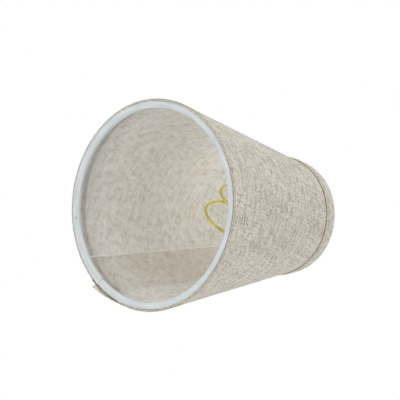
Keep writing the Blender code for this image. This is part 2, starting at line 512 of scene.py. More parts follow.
@dataclass(frozen=True)
class LinenBehindFilm(Finish):
    """Clear polystyrene film laminated to the back of the linen, satin and calm.

    The film blurs the weave behind it and greys it a little, and gives a faint soft
    gloss. Where the film is doubled at the seam, and where the cloth is turned up
    behind it along the rim, less light comes through, so those strips are darker. Its
    colours are lighter than the cloth's, because daylight also passes through the wall.
    """

    shade_side: str = "#dfdcd5"
    light_side: str = "#f1f0ed"
    fleck: str = "#b3a797"
    doubled: str = "#f1eeea"
    turned_up: str = "#eeedee"
    # Painted shade: the tint for the bead's shadow on the film beside the tape.
    painted_bead_shade: str = "#e9ecf1"
    glued: str = "#f3eee8"
    hem: tuple[float, float] = (23.0, 12.0)
    painted_bead_shade_to: tuple[float, float] = (11.2, 9.8)
    glue_line: tuple[float, float] = (8.3, 10.2)
    lap: float = 33.0
    thread: float = 2.1
    run: float = 8.0

    def dress(self, tree: bpy.types.NodeTree, shader: bpy.types.Node) -> None:
        """Draws the blurred weave, then the doubled strips and a painted highlight along the
        film's cut end.
        """
        grain = add(tree, "ShaderNodeUVMap", uv_map=Map.GRAIN.value).outputs["UV"]
        place = add(tree, "ShaderNodeUVMap", uv_map=Map.PLACE.value).outputs["UV"]
        warp = stretched_noise(tree, grain, (self.thread, self.run), 3.1)
        weft = stretched_noise(tree, grain, (self.run, self.thread), 7.7)
        yarn = maths(tree, "MULTIPLY", maths(tree, "ADD", warp, weft), 0.5)
        colour = mix(
            tree, between(tree, yarn, 0.3, 0.7), self.shade_side, self.light_side
        )
        for size, shift in (((2.4, 6.5), 21.0), ((9.0, 2.1), 33.0), ((5.0, 5.0), 51.0)):
            spots = stretched_noise(tree, grain, size, shift)
            share = between(tree, spots, 0.52, 0.76)
            colour = mix(tree, maths(tree, "MULTIPLY", share, 0.45), colour, self.fleck)
        cloud = stretched_noise(tree, grain, (26.0, 26.0), 5.0)
        colour = mix(
            tree, between(tree, cloud, 0.2, 0.8), colour, mix(tree, 0.12, colour, "#b5a78c")
        )
        parts = add(tree, "ShaderNodeSeparateXYZ", {"Vector": place}).outputs
        lapped = between(tree, parts["X"], (self.lap + 2) * MM, (self.lap - 2) * MM)
        in_hem = between(tree, parts["Y"], self.hem[0] * MM, self.hem[1] * MM)
        above = between(tree, parts["Y"], (self.glue_line[0] - 0.6) * MM, self.glue_line[0] * MM)
        below = between(tree, parts["Y"], (self.glue_line[1] + 0.6) * MM, self.glue_line[1] * MM)
        in_glue = maths(tree, "MULTIPLY", above, below)
        # Painted shade: below about 10 mm the film is darkened as the bead's shadow beside the
        # tape.
        in_painted_bead_shade = between(tree, parts["Y"], self.painted_bead_shade_to[0] * MM, self.painted_bead_shade_to[1] * MM)
        # The doubled and turned-up tints paint the shade of less light coming through two layers;
        # glued is the glue line's own colour.
        for share, tint in (
            (lapped, self.doubled),
            (in_hem, self.turned_up),
            (in_painted_bead_shade, self.painted_bead_shade),
            (in_glue, self.glued),
        ):
            colour = mix(tree, share, colour, mix(tree, 1.0, colour, tint, "MULTIPLY"))
        # Painted highlight: a pale line along the film's cut end, where the edge catches the
        # light.
        edge = between(tree, parts["X"], 1.1 * MM, 0.5 * MM)
        colour = mix(tree, maths(tree, "MULTIPLY", edge, 0.7), colour, "#f1efe8")
        values = {
            "Base Color": colour,
            "Roughness": 0.6,
            "Coat Weight": 0.2,
            "Coat Roughness": 0.4,
            "IOR": 1.5,
        }
        finish_off(tree, shader, values, yarn, (0.12, 0.2))


@dataclass(frozen=True)
class CutEdge(Finish):
    """The raw edge of the cloth or film, where the blade has left bare yarn ends.

    It is a broken line of darker and lighter dots, and browner where glue has soaked in.
    """

    dark: str = "#83704f"
    light: str = "#cfc8b6"

    def dress(self, tree: bpy.types.NodeTree, shader: bpy.types.Node) -> None:
        """Breaks the edge up into yarn ends about 0.8 mm long."""
        place = add(tree, "ShaderNodeTexCoord").outputs["Object"]
        spots = stretched_noise(tree, place, (0.8, 0.8), 2.0)
        colour = mix(tree, between(tree, spots, 0.35, 0.65), self.dark, self.light)
        values = {"Base Color": colour, "Roughness": 0.9, "Specular IOR Level": 0.2}
        finish_off(tree, shader, values, spots, (0.5, 0.2))


@dataclass(frozen=True)
class CoatedTape(Finish):
    """White coated cloth tape, rolled tight over the ring: smooth, cool and half glossy.

    It is a bluish white with a soft highlight along the bead, fine creases along it
    where it is rolled in, and slight grey soiling.
    """

    body: str = "#d6dcde"
    soiled: str = "#c1c8cb"

    def dress(self, tree: bpy.types.NodeTree, shader: bpy.types.Node) -> None:
        """Adds soiling, uneven gloss and a fine texture to the white."""
        place = add(tree, "ShaderNodeUVMap", uv_map=Map.GRAIN.value).outputs["UV"]
        soil = stretched_noise(tree, place, (16.0, 1.3), 4.0)
        fine = stretched_noise(tree, place, (9.0, 0.5), 8.0)
        colour = mix(tree, between(tree, soil, 0.35, 0.7), self.body, self.soiled)
        gloss = add(
            tree, "ShaderNodeMapRange", {"Value": soil, "To Min": 0.28, "To Max": 0.46}
        )
        values = {"Base Color": colour, "Roughness": gloss.outputs["Result"], "IOR": 1.48}
        finish_off(tree, shader, values, fine, (0.3, 0.15))


@dataclass(frozen=True)
class DrawnWire(Finish):
    """Drawn wire with a thin bright plating, bent cold.

    It mirrors the room softly along its length, with slight duller patches where the
    plating is thin.
    """

    bright: str = "#efe573"
    dull: str = "#d8cf68"
    roughness: float = 0.3

    def dress(self, tree: bpy.types.NodeTree, shader: bpy.types.Node) -> None:
        """Varies the plating's colour and gloss in patches of a few millimetres."""
        place = add(tree, "ShaderNodeTexCoord").outputs["Object"]
        patch = stretched_noise(tree, place, (3.0, 3.0), 6.0)
        colour = mix(tree, between(tree, patch, 0.35, 0.7), self.bright, self.dull)
        gloss = add(
            tree,
            "ShaderNodeMapRange",
            {"Value": patch, "To Min": self.roughness, "To Max": self.roughness + 0.14},
        )
        values = {"Base Color": colour, "Roughness": gloss.outputs["Result"], "Metallic": 1.0}
        finish_off(tree, shader, values)


@dataclass(frozen=True)
class SetGlue(Finish):
    """Contact glue that has set brown and half glossy in the grooves beside the tapes."""

    thin: str = "#d8cbb0"
    thick: str = "#98805c"

    def dress(self, tree: bpy.types.NodeTree, shader: bpy.types.Node) -> None:
        """Makes the glue browner where it lies thicker."""
        place = add(tree, "ShaderNodeTexCoord").outputs["Object"]
        lumps = stretched_noise(tree, place, (2.5, 2.5), 9.0)
        colour = mix(tree, between(tree, lumps, 0.3, 0.7), self.thin, self.thick)
        values = {"Base Color": colour, "Roughness": 0.5}
        finish_off(tree, shader, values, lumps, (0.4, 0.3))


@dataclass(frozen=True)
class LooseYarn(Finish):
    """Bare bast fibre, as in slubs and frayed ends: dry, matt, from straw to brown."""

    straw: str = "#c8bfa9"
    brown: str = "#6f5f42"

    def dress(self, tree: bpy.types.NodeTree, shader: bpy.types.Node) -> None:
        """Gives each fibre its own shade, by where it lies."""
        place = add(tree, "ShaderNodeTexCoord").outputs["Object"]
        kind = stretched_noise(tree, place, (2.2, 2.2), 12.0)
        colour = mix(tree, between(tree, kind, 0.4, 0.6), self.straw, self.brown)
        values = {
            "Base Color": colour,
            "Roughness": 0.95,
            "Specular IOR Level": 0.15,
            "Sheen Weight": 0.2,
        }
        finish_off(tree, shader, values)


@dataclass(frozen=True)
class StudioPaper(Finish):
    """Matt white background paper, with the faintest mottling."""

    def dress(self, tree: bpy.types.NodeTree, shader: bpy.types.Node) -> None:
        """Mottles the white a little."""
        place = add(tree, "ShaderNodeTexCoord").outputs["Object"]
        mottle = stretched_noise(tree, place, (90.0, 90.0), 0.0)
        colour = mix(tree, mottle, "#fbfbfa", "#f8f8f7")
        finish_off(tree, shader, {"Base Color": colour, "Roughness": 1.0})


LINEN = OatmealLinen("oatmeal_linen")
# Painted light: a lighter copy of the cover's linen, which lifts the shade on the loose strip's
# underside.
LIGHTENED_LOOSE_LINEN = OatmealLinen(
    "oatmeal_linen_loose_end", shade_side="#cbc1ad", light_side="#eeeadf", fleck_share=0.62
)
BAND_LINEN = OatmealLinen("oatmeal_linen_band")
LINING = LinenBehindFilm("linen_behind_film")
RAW_EDGE = CutEdge("raw_linen_edge")
FILM_EDGE = CutEdge("cut_film_edge", "#d9d5c9", "#f2f0ea")
TAPE = CoatedTape("white_coated_tape")
BRASS = DrawnWire("bright_brass_plating")
ZINC = DrawnWire("zinc_plated_ring_wire", "#c9cac6", "#a5a6a2", 0.3)
SOLDER = DrawnWire("brazed_joint", "#cdbf78", "#94895a", 0.42)
# The tape's cut edges are drawn grey: partly the bare edge's own colour, partly painted shade for
# the dark line where the lapped end steps down.
TAPE_END = CutEdge("cut_tape_end", "#adb3b3", "#c3c9c9")
GLUE = SetGlue("set_brown_glue")
SPECK = SetGlue("dark_glue_speck", "#4d5052", "#3b3e40")
YARN = LooseYarn("loose_bast_yarn")
PAPER = StudioPaper("studio_paper")


# --------------------------------------------------------------- node trees


@dataclass
class PieceNodes:
    """A Geometry Nodes tree with named inputs, and the way to run it on an object."""

    name: str
    sockets: dict[str, str]

    def __post_init__(self) -> None:
        """Starts the tree with its inputs and its one output."""
        self.tree = bpy.data.node_groups.new(self.name, "GeometryNodeTree")
        face = self.tree.interface
        face.new_socket("Geometry", in_out="OUTPUT", socket_type="NodeSocketGeometry")
        face.new_socket("Geometry", in_out="INPUT", socket_type="NodeSocketGeometry")
        for label, kind in self.sockets.items():
            face.new_socket(label, in_out="INPUT", socket_type="NodeSocket" + kind)
        self.given = add(self.tree, "NodeGroupInput").outputs

    def close(self, geometry: bpy.types.NodeSocket) -> None:
        """Ends the tree: real geometry, smooth, with the material given."""
        real = add(self.tree, "GeometryNodeRealizeInstances", {0: geometry})
        smooth = add(self.tree, "GeometryNodeSetShadeSmooth", {0: real.outputs[0]})
        dressed = add(
            self.tree,
            "GeometryNodeSetMaterial",
            {"Geometry": smooth.outputs[0], "Material": self.given["Material"]},
        )
        add(self.tree, "NodeGroupOutput", {0: dressed.outputs[0]})

    def run(self, source: bpy.types.Object, **values: object) -> bpy.types.Object:
        """Runs the tree on an object, and makes the result a plain mesh.

        Args:
            source: The object that the tree starts from. It is used up.
            **values: The inputs by name, with _ for each space.

        Returns:
            A new object with the source's name.
        """
        modifier = source.modifiers.new(self.name, "NODES")
        modifier.node_group = self.tree
        for item in self.tree.interface.items_tree:
            key = item.name.lower().replace(" ", "_")
            if item.in_out == "INPUT" and key in values:
                modifier[item.identifier] = values[key]
        graph = bpy.context.evaluated_depsgraph_get()
        mesh = bpy.data.meshes.new_from_object(source.evaluated_get(graph))
        name = source.name
        bpy.data.objects.remove(source, do_unlink=True)
        return link(name, mesh)


def tube(
    tree: bpy.types.NodeTree, path: bpy.types.NodeSocket, radius: object, sides: object
) -> bpy.types.NodeSocket:
    """A closed round tube along a curve. The radius and sides are values or sockets."""
    section = add(
        tree, "GeometryNodeCurvePrimitiveCircle", {"Resolution": sides, "Radius": radius}
    )
    parts = {"Curve": path, "Profile Curve": section.outputs["Curve"], "Fill Caps": True}
    return add(tree, "GeometryNodeCurveToMesh", parts).outputs["Mesh"]


def wire_nodes() -> PieceNodes:
    """Round wire that follows a path: a ring, a bent bar or a loop."""
    made = PieceNodes(
        "wire_on_path", {"Wire Radius": "Float", "Sides": "Int", "Material": "Material"}
    )
    tree, given = made.tree, made.given
    path = add(tree, "GeometryNodeMeshToCurve", {"Mesh": given["Geometry"]})
    made.close(tube(tree, path.outputs["Curve"], given["Wire Radius"], given["Sides"]))
    return made


def random_value(
    tree: bpy.types.NodeTree, low: float, high: float, seed: bpy.types.NodeSocket
) -> bpy.types.NodeSocket:
    """One random number for each point, from a given seed."""
    made = add(
        tree, "FunctionNodeRandomValue", {2: low, 3: high, "Seed": seed}, data_type="FLOAT"
    )
    return made.outputs[1]


def vector_maths(
    tree: bpy.types.NodeTree, operation: str, *values: object
) -> bpy.types.NodeSocket:
    """One sum on one or two vectors. A number scales when the operation is SCALE."""
    inputs = dict(enumerate(values))
    if operation == "SCALE":
        inputs = {0: values[0], "Scale": values[1]}
    return add(tree, "ShaderNodeVectorMath", inputs, operation=operation).outputs[0]


def fray_nodes() -> PieceNodes:
    """Bent yarn ends that stand off a cut edge in uneven lengths."""
    made = PieceNodes(
        "frayed_edge",
        {
            "Count": "Int",
            "Length": "Float",
            "Thickness": "Float",
            "Outward": "Float",
            "Downward": "Float",
            "Seed": "Int",
            "Material": "Material",
        },
    )
    tree, given = made.tree, made.given
    edge = add(tree, "GeometryNodeMeshToCurve", {"Mesh": given["Geometry"]})
    roots = add(
        tree,
        "GeometryNodeResampleCurve",
        {"Curve": edge.outputs["Curve"], "Count": given["Count"]},
    )
    tip = add(tree, "ShaderNodeCombineXYZ", {"Z": given["Length"]})
    line = add(tree, "GeometryNodeCurvePrimitiveLine", {"End": tip.outputs[0]})
    yarn = add(
        tree, "GeometryNodeResampleCurve", {"Curve": line.outputs["Curve"], "Count": 5}
    )
    place = add(tree, "GeometryNodeInputPosition").outputs[0]
    level = vector_maths(tree, "MULTIPLY", place, (1.0, 1.0, 0.0))
    out = vector_maths(
        tree, "SCALE", vector_maths(tree, "NORMALIZE", level), given["Outward"]
    )
    fall = add(tree, "ShaderNodeCombineXYZ", {"Z": given["Downward"]})
    lean = vector_maths(tree, "SUBTRACT", out, fall.outputs[0])
    stray = add(
        tree,
        "FunctionNodeRandomValue",
        {0: (-1.0, -1.0, -0.6), 1: (1.0, 1.0, 0.6), "Seed": given["Seed"]},
        data_type="FLOAT_VECTOR",
    )
    way = vector_maths(tree, "ADD", lean, stray.outputs[0])
    turn = add(tree, "FunctionNodeAlignRotationToVector", {"Vector": way}, axis="Z")
    ends = add(
        tree,
        "GeometryNodeInstanceOnPoints",
        {
            "Points": roots.outputs["Curve"],
            "Instance": yarn.outputs["Curve"],
            "Rotation": turn.outputs["Rotation"],
            "Scale": random_value(tree, 0.15, 1.0, given["Seed"]),
        },
    )
    real = add(tree, "GeometryNodeRealizeInstances", {0: ends.outputs["Instances"]})
    curl = add(
        tree,
        "ShaderNodeTexNoise",
        {"Vector": add(tree, "GeometryNodeInputPosition").outputs[0], "Scale": 900.0},
    )
    bend = vector_maths(tree, "SUBTRACT", curl.outputs["Color"], (0.5, 0.5, 0.5))
    along = add(tree, "GeometryNodeSplineParameter").outputs["Factor"]
    reach = add(
        tree, "ShaderNodeMath", {0: along, 1: given["Length"]}, operation="MULTIPLY"
    )
    bent = add(
        tree,
        "GeometryNodeSetPosition",
        {
            "Geometry": real.outputs[0],
            "Offset": vector_maths(tree, "SCALE", bend, reach.outputs[0]),
        },
    )
    made.close(tube(tree, bent.outputs["Geometry"], given["Thickness"], 3))
    return made


def slub_nodes() -> PieceNodes:
    """Slubs: short thick places in the yarn, which lie along one thread or the other."""
    made = PieceNodes(
        "slubs_on_cloth",
        {
            "Density": "Float",
            "Length": "Float",
            "Width": "Float",
            "Lift": "Float",
            "Seed": "Int",
            "Material": "Material",
        },
    )
    tree, given = made.tree, made.given
    spots = add(
        tree,
        "GeometryNodeDistributePointsOnFaces",
        {"Mesh": given["Geometry"], "Density": given["Density"], "Seed": given["Seed"]},
    )
    ways = [
        add(
            tree,
            "GeometryNodeInputNamedAttribute",
            {"Name": name},
            data_type="FLOAT_VECTOR",
        ).outputs["Attribute"]
        for name in ("warp_way", "weft_way")
    ]
    coin = add(
        tree,
        "FunctionNodeRandomValue",
        {"Probability": 0.6, "Seed": given["Seed"]},
        data_type="BOOLEAN",
    )
    way = add(
        tree,
        "GeometryNodeSwitch",
        {"Switch": coin.outputs[3], "False": ways[0], "True": ways[1]},
        input_type="VECTOR",
    )
    along = add(
        tree, "FunctionNodeAlignRotationToVector", {"Vector": way.outputs[0]}, axis="X"
    )
    turn = add(
        tree,
        "FunctionNodeAlignRotationToVector",
        {"Rotation": along.outputs["Rotation"], "Vector": spots.outputs["Normal"]},
        axis="Z",
        pivot_axis="X",
    )
    long = add(
        tree,
        "ShaderNodeMath",
        {0: given["Length"], 1: random_value(tree, 0.35, 1.0, given["Seed"])},
        operation="MULTIPLY",
    )
    size = add(
        tree,
        "ShaderNodeCombineXYZ",
        {"X": long.outputs[0], "Y": given["Width"], "Z": given["Lift"]},
    )
    lump = add(tree, "GeometryNodeMeshIcoSphere", {"Radius": 0.5, "Subdivisions": 1})
    laid = add(
        tree,
        "GeometryNodeInstanceOnPoints",
        {
            "Points": spots.outputs["Points"],
            "Instance": lump.outputs["Mesh"],
            "Rotation": turn.outputs["Rotation"],
            "Scale": size.outputs[0],
        },
    )
    made.close(laid.outputs["Instances"])
    return made


# ------------------------------------------------------------- the rolled cone


@dataclass(frozen=True)
class Cone:
    """The shade's form: a straight cone, standing on its wide end, in metres."""

    bottom_radius: float = 65 * MM
    top_radius: float = 38.5 * MM
    height: float = 150 * MM
    square_at: float = 254 * DEGREE
    ripple: float = 0.14 * MM
    ripple_size: float = 16 * MM

    @property
    def slope(self) -> float:
        """How much the radius shrinks for each metre of height."""
        return (self.bottom_radius - self.top_radius) / self.height

    @property
    def flat_share(self) -> float:
        """The angle that one radian round the cone takes in the flat cut."""
        return self.slope / math.hypot(1, self.slope)

    def radius(self, height: float) -> float:
        """Radius of the cover's outer face at a height."""
        return self.bottom_radius - self.slope * height

    def point(self, angle: float, height: float, out: float) -> Vector:
        """A point near the cone's outer face, with the sheet's slight ripple.

        Args:
            angle: The angle round the shade.
            height: The height above the wide rim.
            out: How far the point lies outside the cone's outer face.

        Returns:
            The point. The ripple fades to nothing at both rims.
        """
        way = Vector((math.cos(angle), math.sin(angle), 0))
        plain = way * self.radius(height)
        held = math.sin(math.pi * min(max(height / self.height, 0), 1))
        wave = noise.noise((plain + Vector((0, 0, height))) / self.ripple_size)
        return plain + way * (out + wave * held * self.ripple) + Vector((0, 0, height))

    def flat(self, angle: float, height: float) -> tuple[float, float]:
        """Where a point lies in the flat cut, across and along the warp."""
        slant = self.radius(height) / self.flat_share
        turn = (angle - self.square_at) * self.flat_share
        return slant * math.sin(turn), slant * math.cos(turn)

    def thread_ways(self, angle: float) -> tuple[Vector, Vector]:
        """The directions of the threads on the rolled cone.

        Args:
            angle: The angle round the shade.

        Returns:
            The warp's direction and the weft's.
        """
        turn = (angle - self.square_at) * self.flat_share
        round_way = Vector((-math.sin(angle), math.cos(angle), 0))
        down_way = Vector(
            (self.slope * math.cos(angle), self.slope * math.sin(angle), -1)
        ).normalized()
        warp = math.cos(turn) * down_way - math.sin(turn) * round_way
        weft = math.sin(turn) * down_way + math.cos(turn) * round_way
        return warp, weft


def grid(
    name: str,
    columns: Sequence[float],
    rows: Sequence[float],
    place: Callable[[float, float], Vector],
    maps: dict[Map, Callable[[float, float], tuple[float, float]]],
    keep: Callable[[float, float], bool] = lambda column, row: True,
) -> bpy.types.Object:
    """A surface over two values, with its UV maps.

    Args:
        name: The object's name.
        columns: The first value, along the surface.
        rows: The second value, across it.
        place: The point for a column and a row.
        maps: The coordinates for a column and a row, for each UV map.
        keep: Whether the face round a middle column and row is made.

    Returns:
        The new object.
    """
    points = [place(column, row) for row in rows for column in columns]
    wide = len(columns)
    faces, corners = [], []
    for down in range(len(rows) - 1):
        for over in range(wide - 1):
            middle = (columns[over] + columns[over + 1]) / 2, (rows[down] + rows[down + 1]) / 2
            if not keep(*middle):
                continue
            first = down * wide + over
            faces.append((first, first + 1, first + wide + 1, first + wide))
            left, right = columns[over], columns[over + 1]
            below, above = rows[down], rows[down + 1]
            corners += [(left, below), (right, below), (right, above), (left, above)]
    mesh = bpy.data.meshes.new(name)
    mesh.from_pydata([tuple(point) for point in points], [], faces)
    for kind, where in maps.items():
        layer = mesh.uv_layers.new(name=kind.value)
        flat = [value for corner in corners for value in where(*corner)]
        layer.data.foreach_set("uv", flat)
    return link(name, mesh)


def steps_between(start: float, end: float, step: float) -> list[float]:
    """Even steps from start to end, each close to the size given."""
    count = max(1, round((end - start) / step))
    return [start + (end - start) * at / count for at in range(count + 1)]


@dataclass
class RolledSheet:
    """A sheet rolled once round the cone, whose last end laps over its first one."""

    cone: Cone
    name: str
    start: float
    depth: float
    thickness: float
    lap_step: float
    sweep: float = 375 * DEGREE
    ramp_end: float = 434 * DEGREE
    ramp: float = 12 * DEGREE
    low: float = 0.5 * MM
    top: float = 149.2 * MM
    column: float = 1.25 * DEGREE
    row: float = 2.5 * MM

    @property
    def end(self) -> float:
        """The angle of the sheet's last end."""
        return self.start + self.sweep

    def out(self, angle: float, height: float) -> float:
        """How far a point lies outside the cone's outer face."""
        lapped = smooth_step((angle - self.ramp_end + self.ramp) / self.ramp)
        return self.lap_step * lapped - self.depth

    def place(self, angle: float, height: float) -> Vector:
        """The sheet's middle surface."""
        return self.cone.point(angle, height, self.out(angle, height))

    def from_end(self, angle: float, height: float) -> tuple[float, float]:
        """How far a point is from the sheet's last end, and its height."""
        return (self.end - angle) * self.cone.radius(height), height

    def kept(self, angle: float, height: float) -> bool:
        """Whether a face is there. A whole sheet has all of them."""
        return True

    def surface(self) -> bpy.types.Object:
        """The sheet without thickness."""
        return grid(
            self.name,
            steps_between(self.start, self.end, self.column),
            steps_between(self.low, self.top, self.row),
            self.place,
            {Map.GRAIN: self.cone.flat, Map.PLACE: self.from_end},
            self.kept,
        )


@dataclass
class LinenSheet(RolledSheet):
    """The cover's cloth. A narrow strip of its last end hangs loose at the wide rim."""

    strip_lift: float = 2.0 * MM
    strip_drop: float = 0.5 * MM
    strip_from: float = 430 * DEGREE
    strip_end: float = 446 * DEGREE
    strip_height: float = 1.6 * MM

    def kept(self, angle: float, height: float) -> bool:
        """Whether a face belongs to the cloth that is still stuck down."""
        return angle < self.strip_from or height > self.strip_height

    def loose_place(self, angle: float, height: float) -> Vector:
        """The loose strip's middle surface, which bends away from the rim."""
        share = max(0.0, (angle - self.strip_from) / (self.strip_end - self.strip_from)) ** 1.2
        flare = 1.25 - 0.6 * (height - self.low) / self.strip_height
        out = self.out(angle, height) + self.strip_lift * share * flare
        return self.cone.point(angle, height, out) - Vector((0, 0, self.strip_drop * share))

    def loose_strip(self) -> bpy.types.Object:
        """The loose strip without thickness."""
        return grid(
            "loose_linen_strip",
            steps_between(self.strip_from - 1 * DEGREE, self.strip_end, 1 * DEGREE),
            steps_between(self.low, self.low + self.strip_height, 0.5 * MM),
            self.loose_place,
            {Map.GRAIN: self.cone.flat, Map.PLACE: self.from_end},
        )


@dataclass
class Cover:
    """The linen cover with its slubs and its frayed edges."""

    cone: Cone
    wall: float = 0.4 * MM
    lap_step: float = 0.55 * MM
    start: float = 74 * DEGREE
    slub_length: float = 2.6 * MM
    slub_width: float = 0.34 * MM
    slub_lift: float = 0.22 * MM
    slubs_per_area: float = 26000.0

    def sheet(self) -> LinenSheet:
        """The cloth as it lies on the cone."""
        return LinenSheet(
            self.cone, "linen_cover", self.start, self.wall / 2, self.wall, self.lap_step
        )

    def build(self) -> None:
        sheet = self.sheet()
        cloth, strip = sheet.surface(), sheet.loose_strip()
        slubs = self.slubs(sheet)
        edge = self.frayed_edge(sheet)
        thicken(cloth, self.wall, LINEN, RAW_EDGE)
        put(cloth, Slot.LINEN, replaces=["fabric_cover"])
        thicken(strip, self.wall, LIGHTENED_LOOSE_LINEN, RAW_EDGE)
        for piece in (strip, slubs, edge):
            put(piece, Slot.LINEN)
        width, length, area = self.flat_size(sheet)

    def flat_size(self, sheet: RolledSheet) -> tuple[float, float, float]:
        """The flat cut: a sector of a ring.

        Args:
            sheet: The cloth as it lies on the cone.

        Returns:
            The width and length of the piece it is cut from, and its own area.
        """
        share = self.cone.flat_share
        outer = self.cone.radius(sheet.low) / share
        inner = self.cone.radius(sheet.top) / share
        half = sheet.sweep * share / 2
        width = 2 * outer * math.sin(half)
        return width, outer - inner * math.cos(half), half * (outer**2 - inner**2)

    def slubs(self, sheet: RolledSheet) -> bpy.types.Object:
        """Scatters slubs along the threads of the cloth's outer face."""
        base = grid(
            "linen_slubs",
            steps_between(sheet.start, sheet.end, 3 * DEGREE),
            steps_between(3 * MM, 136 * MM, 5 * MM),
            lambda angle, height: self.cone.point(
                angle, height, sheet.out(angle, height) + self.wall / 2
            ),
            {},
        )
        columns = steps_between(sheet.start, sheet.end, 3 * DEGREE)
        ways = [self.cone.thread_ways(angle) for angle in columns]
        repeats = len(base.data.vertices) // len(columns)
        for at, name in enumerate(("warp_way", "weft_way")):
            layer = base.data.attributes.new(name, "FLOAT_VECTOR", "POINT")
            flat = [part for way in ways for part in way[at]] * repeats
            layer.data.foreach_set("vector", flat)
        return slub_nodes().run(
            base,
            density=self.slubs_per_area,
            length=self.slub_length,
            width=self.slub_width,
            lift=self.slub_lift,
            seed=11,
            material=YARN.make(),
        )

    def frayed_edge(self, sheet: RolledSheet) -> bpy.types.Object:
        """Yarn ends along the cut edge at the wide rim and up the seam."""
        low = [
            sheet.loose_place(angle, sheet.low)
            for angle in steps_between(sheet.start, sheet.strip_end, 1 * DEGREE)
        ]
        seam = [
            sheet.place(sheet.end, height)
            for height in steps_between(sheet.low + sheet.strip_height, 137 * MM, 2 * MM)
        ]
        return FRAY.run(
            path_object("frayed_cover_edge", low + seam[1:]),
            count=420,
            length=1.5 * MM,
            thickness=0.06 * MM,
            outward=0.3,
            downward=0.4,
            seed=5,
            material=YARN.make(),
        )


@dataclass
class Liner:
    """The clear film behind the cloth, with its lapped end inside."""

    cone: Cone
    film: float = 0.3 * MM
    depth: float = 0.7 * MM
    lap_step: float = -0.55 * MM
    start: float = 89 * DEGREE

    def build(self) -> None:
        """Builds the film with its inner face towards the light inside."""
        sheet = RolledSheet(
            self.cone, "film_lining", self.start, self.depth, self.film, self.lap_step
        )
        film = thicken(sheet.surface(), self.film, LINING, FILM_EDGE)
        put(film, Slot.FILM, replaces=["film_liner"])


# ------------------------------------------------------------------ both rims


def ring_size(node: str) -> tuple[float, float, float]:
    """A CAD ring's wire radius, its own radius and its height."""
    low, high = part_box(node)
    wire = (high.z - low.z) / 2
    return wire, (high.x - low.x) / 2 - wire, (high.z + low.z) / 2


def level_wire(
    name: str, radius: float, height: float, wire: float, finish: Finish, fine: bool = False
) -> bpy.types.Object:
    """A level hoop of wire, or a fine bead of glue laid the same way.

    Args:
        name: The piece's name.
        radius: The hoop's radius.
        height: Its height above the wide rim.
        wire: The wire's own radius.
        finish: Its finish.
        fine: Whether it is a fine line, with fewer sides and shorter runs.

    Returns:
        The hoop, not yet a piece.
    """
    return WIRE.run(
        path_object(name, circle(radius, height, 240 if fine else 180), closed=True),
        wire_radius=wire,
        sides=6 if fine else 16,
        material=finish.make(),
    )


@dataclass
class RimBinding:
    """The wide rim: a wire ring in rolled tape, which also wraps the film's lower edge."""

    tape: float = 0.35 * MM
    bead: float = 1.72 * MM
    lip_radius: float = 63.55 * MM
    lip_height: float = 0.14 * MM
    start: float = 84 * DEGREE
    lap: float = 9 * DEGREE
    proud: float = 0.42 * MM
    tuck: float = 1.2 * DEGREE
    groove_turn: float = -1.9
    groove: float = 0.16 * MM
    groove_width: float = 0.16
    pucker: float = 0.045 * MM
    glue_radius: float = 63.9 * MM
    glue_height: float = 0.55 * MM
    glue_wire: float = 0.2 * MM
    speck_angle: float = 127.3 * DEGREE
    speck_run: float = 0.4 * DEGREE
    speck_turn: float = -1.45
    speck_wire: float = 0.52 * MM
    sides: int = 32

    def __post_init__(self) -> None:
        """Reads the ring's size and place from the CAD."""
        self.wire, self.ring_radius, self.ring_height = ring_size("bottom_ring")
        lip = Vector((self.lip_radius - self.ring_radius, self.lip_height - self.ring_height))
        self.lip_turn = math.atan2(lip.y, lip.x)
        self.lip_cone = math.acos(self.bead / lip.length)

    def size(self, turn: float) -> float:
        """How far the tape's face is from the ring's middle: a bead drawn out to the lip."""
        off = abs((turn - self.lip_turn + math.pi) % FULL_TURN - math.pi)
        return self.bead / math.cos(max(self.lip_cone - off, 0.0))

    def place(self, angle: float, turn: float) -> Vector:
        """A point of the tape's outer face.

        Args:
            angle: The angle round the shade.
            turn: The angle round the bead.

        Returns:
            The point, with the tape's puckers, its groove and its raised first end.
        """
        over = 1 - smooth_step((angle - self.start) / self.lap)
        across = Vector((math.cos(angle) * 60, math.sin(angle) * 60, turn * 1.2))
        crease = noise.noise(across / 1.9) + 0.6 * noise.noise(across / 0.8)
        line = (turn - self.groove_turn + math.pi) % FULL_TURN - math.pi
        sunk = self.groove * math.exp(-((line / self.groove_width) ** 2))
        size = self.size(turn) + over * self.proud + crease * self.pucker - sunk
        reach = self.ring_radius + size * math.cos(turn)
        height = max(self.ring_height + size * math.sin(turn), 0.02 * MM)
        return Vector((reach * math.cos(angle), reach * math.sin(angle), height))

    def build(self) -> None:
        """Builds the tape and the glue behind it, and finishes the ring."""
        columns = steps_between(self.start, self.start + FULL_TURN + self.tuck, 0.9 * DEGREE)
        tape = grid(
            "rim_tape_bead",
            columns,
            steps_between(self.lip_turn, self.lip_turn + FULL_TURN, FULL_TURN / self.sides),
            self.place,
            {Map.GRAIN: lambda angle, turn: (angle * self.ring_radius, turn * self.bead)},
        )
        weld = tape.modifiers.new("close", "WELD")
        weld.merge_threshold = 0.01 * MM
        thicken(tape, self.tape, TAPE, TAPE_END, -1.0)
        put(tape, Slot.TAPE, replaces=["rim_tape"])
        glue = level_wire(
            "rim_glue_line", self.glue_radius, self.glue_height, self.glue_wire, GLUE, fine=True
        )
        put(glue, Slot.LINEN)
        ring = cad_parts["bottom_ring"]
        ends = (self.speck_angle, self.speck_angle + self.speck_run)
        speck = WIRE.run(
            path_object("rim_glue_speck", [self.place(a, self.speck_turn) for a in ends]),
            wire_radius=self.speck_wire,
            sides=8,
            material=SPECK.make(),
        )
        put(speck, Slot.LINEN)
        for slot in ring.material_slots:
            slot.link = "OBJECT"
            slot.material = ZINC.make()
        LOG.info("bottom_ring keeps its CAD shape inside the tape")


